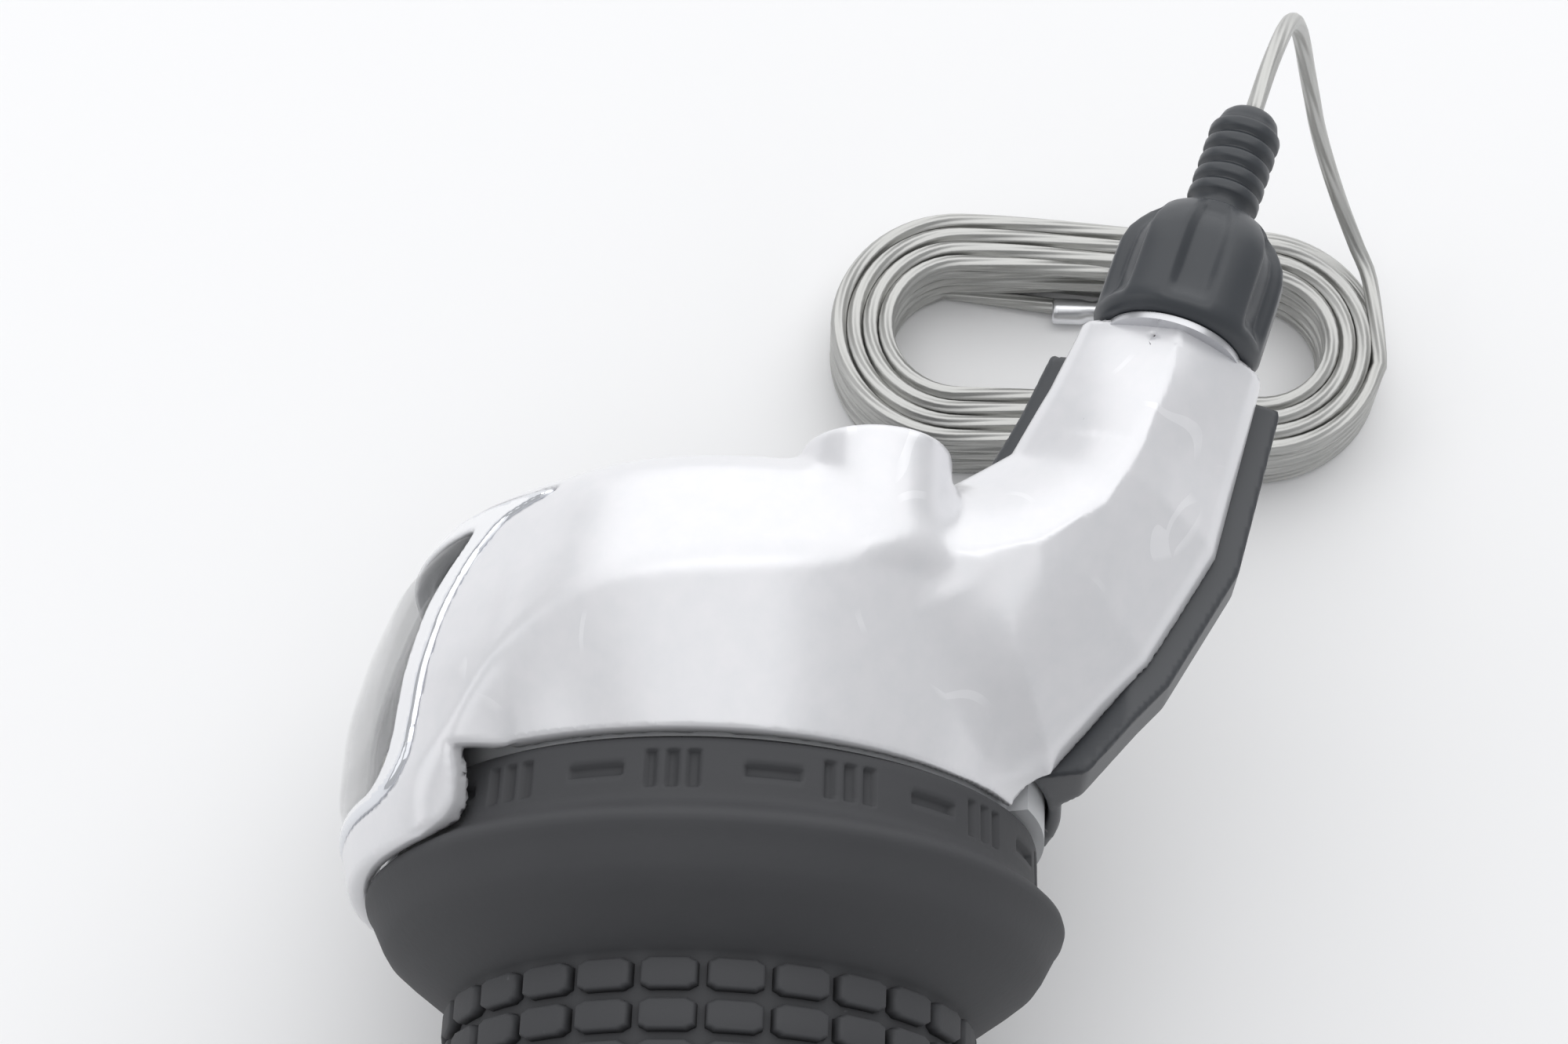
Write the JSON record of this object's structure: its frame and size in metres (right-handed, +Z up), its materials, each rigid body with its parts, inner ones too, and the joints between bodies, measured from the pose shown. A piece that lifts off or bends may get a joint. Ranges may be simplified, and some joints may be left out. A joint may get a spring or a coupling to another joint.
{
  "type": "twist-grip gear shifter",
  "caption": "Right-hand twist-grip gear shifter for a handlebar: ribbed rubber sleeve, silver cover with gear window, barrel adjuster and coiled inner cable.",
  "frame": {"origin": "on the handlebar's axis, in the plane of the rubber flange's rim", "axes": "+X outboard along the handlebar, +Y forward, +Z up"},
  "size_m": [0.1239, 0.0725, 0.0471],
  "materials": {
    "black_plastic": "satin moulded",
    "silver_cover": "silver pearl paint under clear coat",
    "bezel_silver": "pale silver with a bright metallised edge",
    "smoked_lens": "smoked clear plastic",
    "dial_print": "dark grey with printed gear numbers",
    "grey_plastic": "light grey moulded",
    "screw_steel": "zinc plated",
    "bolt_steel": "dark plated",
    "white_plastic": "natural acetal",
    "spring_steel": "polished strip",
    "insert_brass": "turned",
    "cable_steel": "stranded stainless wire",
    "cap_aluminium": "crimped",
    "grip_rubber": "matt grained",
    "pointer_cream": "cream",
    "adjuster_plastic": "blue-black satin"
  },
  "bodies": {
    "housing": {"bracket_body": "black_plastic", "top_cover": "silver_cover", "indicator_bezel": "bezel_silver", "indicator_lens": "smoked_lens", "dial_plate": "dial_print", "retainer_ring": "grey_plastic", "cover_screws": "screw_steel", "clamp_bolt": "bolt_steel", "clamp_nut": "screw_steel", "cable_guide": "white_plastic", "detent_spring": "spring_steel", "detent_spring_screw": "screw_steel", "adjuster_insert": "insert_brass", "adjuster_click_washer": "spring_steel", "inner_cable_run": "cable_steel", "inner_cable_free": "cable_steel", "inner_cable_coil": "cable_steel", "cable_end_cap": "cap_aluminium"},
    "grip": {"grip_sleeve": "grey_plastic", "grip_rubber": "grip_rubber", "cable_drum": "white_plastic", "detent_ring": "spring_steel", "cable_head": "cable_steel", "thrust_washer": "white_plastic", "grip_end_washer": "black_plastic"},
    "pointer": {"indicator_pointer": "pointer_cream", "pointer_pin": "screw_steel"},
    "casing_seat": {"casing_plug": "adjuster_plastic"},
    "adjuster": {"adjuster_knob": "adjuster_plastic", "adjuster_barrel": "bolt_steel"}
  },
  "joints": [
    {"name": "grip_twist", "type": "hinge", "parent": "housing", "child": "grip", "pos_m": [0, 0, 0], "axis": [1, 0, 0], "range_deg": [0, 67.15], "deforming": ["detent_spring"]},
    {"name": "pointer_slide", "type": "slide", "parent": "housing", "child": "pointer", "axis": [-0.981, 0.1942, 0], "range_m": [0, 0.0098]},
    {"name": "adjuster_lift", "type": "slide", "parent": "housing", "child": "casing_seat", "axis": [-0.9555, 0.2949, 0], "range_m": [0, 0.0032]},
    {"name": "adjuster_turn", "type": "hinge", "parent": "casing_seat", "child": "adjuster", "pos_m": [-0.0354, 0.0283, 0.015], "axis": [-0.9555, 0.2949, 0], "range_deg": [0, 1442]}
  ],
  "couplings": [
    {"joint": "pointer_slide", "follows": "grip_twist", "m_per_rad": 0.00835},
    {"joint": "adjuster_turn", "follows": "adjuster_lift", "rad_per_m": 7854}
  ]
}
